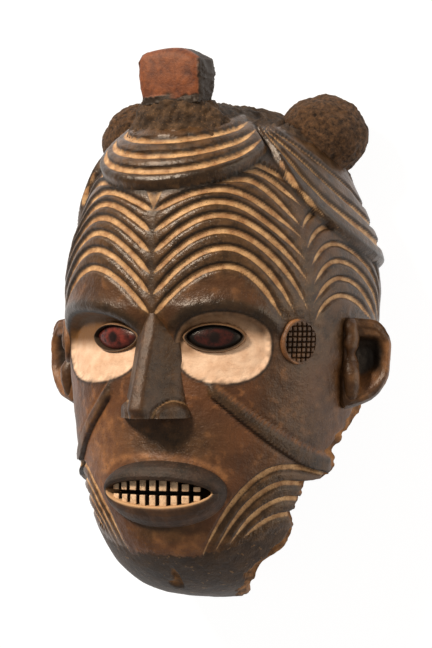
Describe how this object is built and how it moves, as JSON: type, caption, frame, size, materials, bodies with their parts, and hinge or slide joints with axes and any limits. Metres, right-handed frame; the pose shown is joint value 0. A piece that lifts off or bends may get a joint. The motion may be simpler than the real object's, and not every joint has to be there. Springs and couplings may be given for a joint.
{
  "type": "carved wooden face mask",
  "caption": "Hollow carved wooden face mask with ridged hair, ears, a crest block and crusted hair knobs, lying face up on its back rim.",
  "frame": {"origin": "middle of the bounding box at the height of the back rim", "axes": "+Z out of the back towards the nose, +Y towards the crown, +X towards the ear on the viewer's right, where the jaw is broken away"},
  "size_m": [0.2478, 0.3504, 0.1635],
  "materials": {
    "carved_wood": "dark oiled and smoked patina, tan in the cut grooves, worn to a low sheen",
    "crest_wood": "red-brown worn wood with dark crust at the sides",
    "hair_crust": "rough dark crust of earth and resin over carved tufts"
  },
  "bodies": {
    "root": {"mask_body": "carved_wood", "crest_block": "crest_wood", "left_knob": "hair_crust", "right_knob": "hair_crust"}
  },
  "joints": []
}
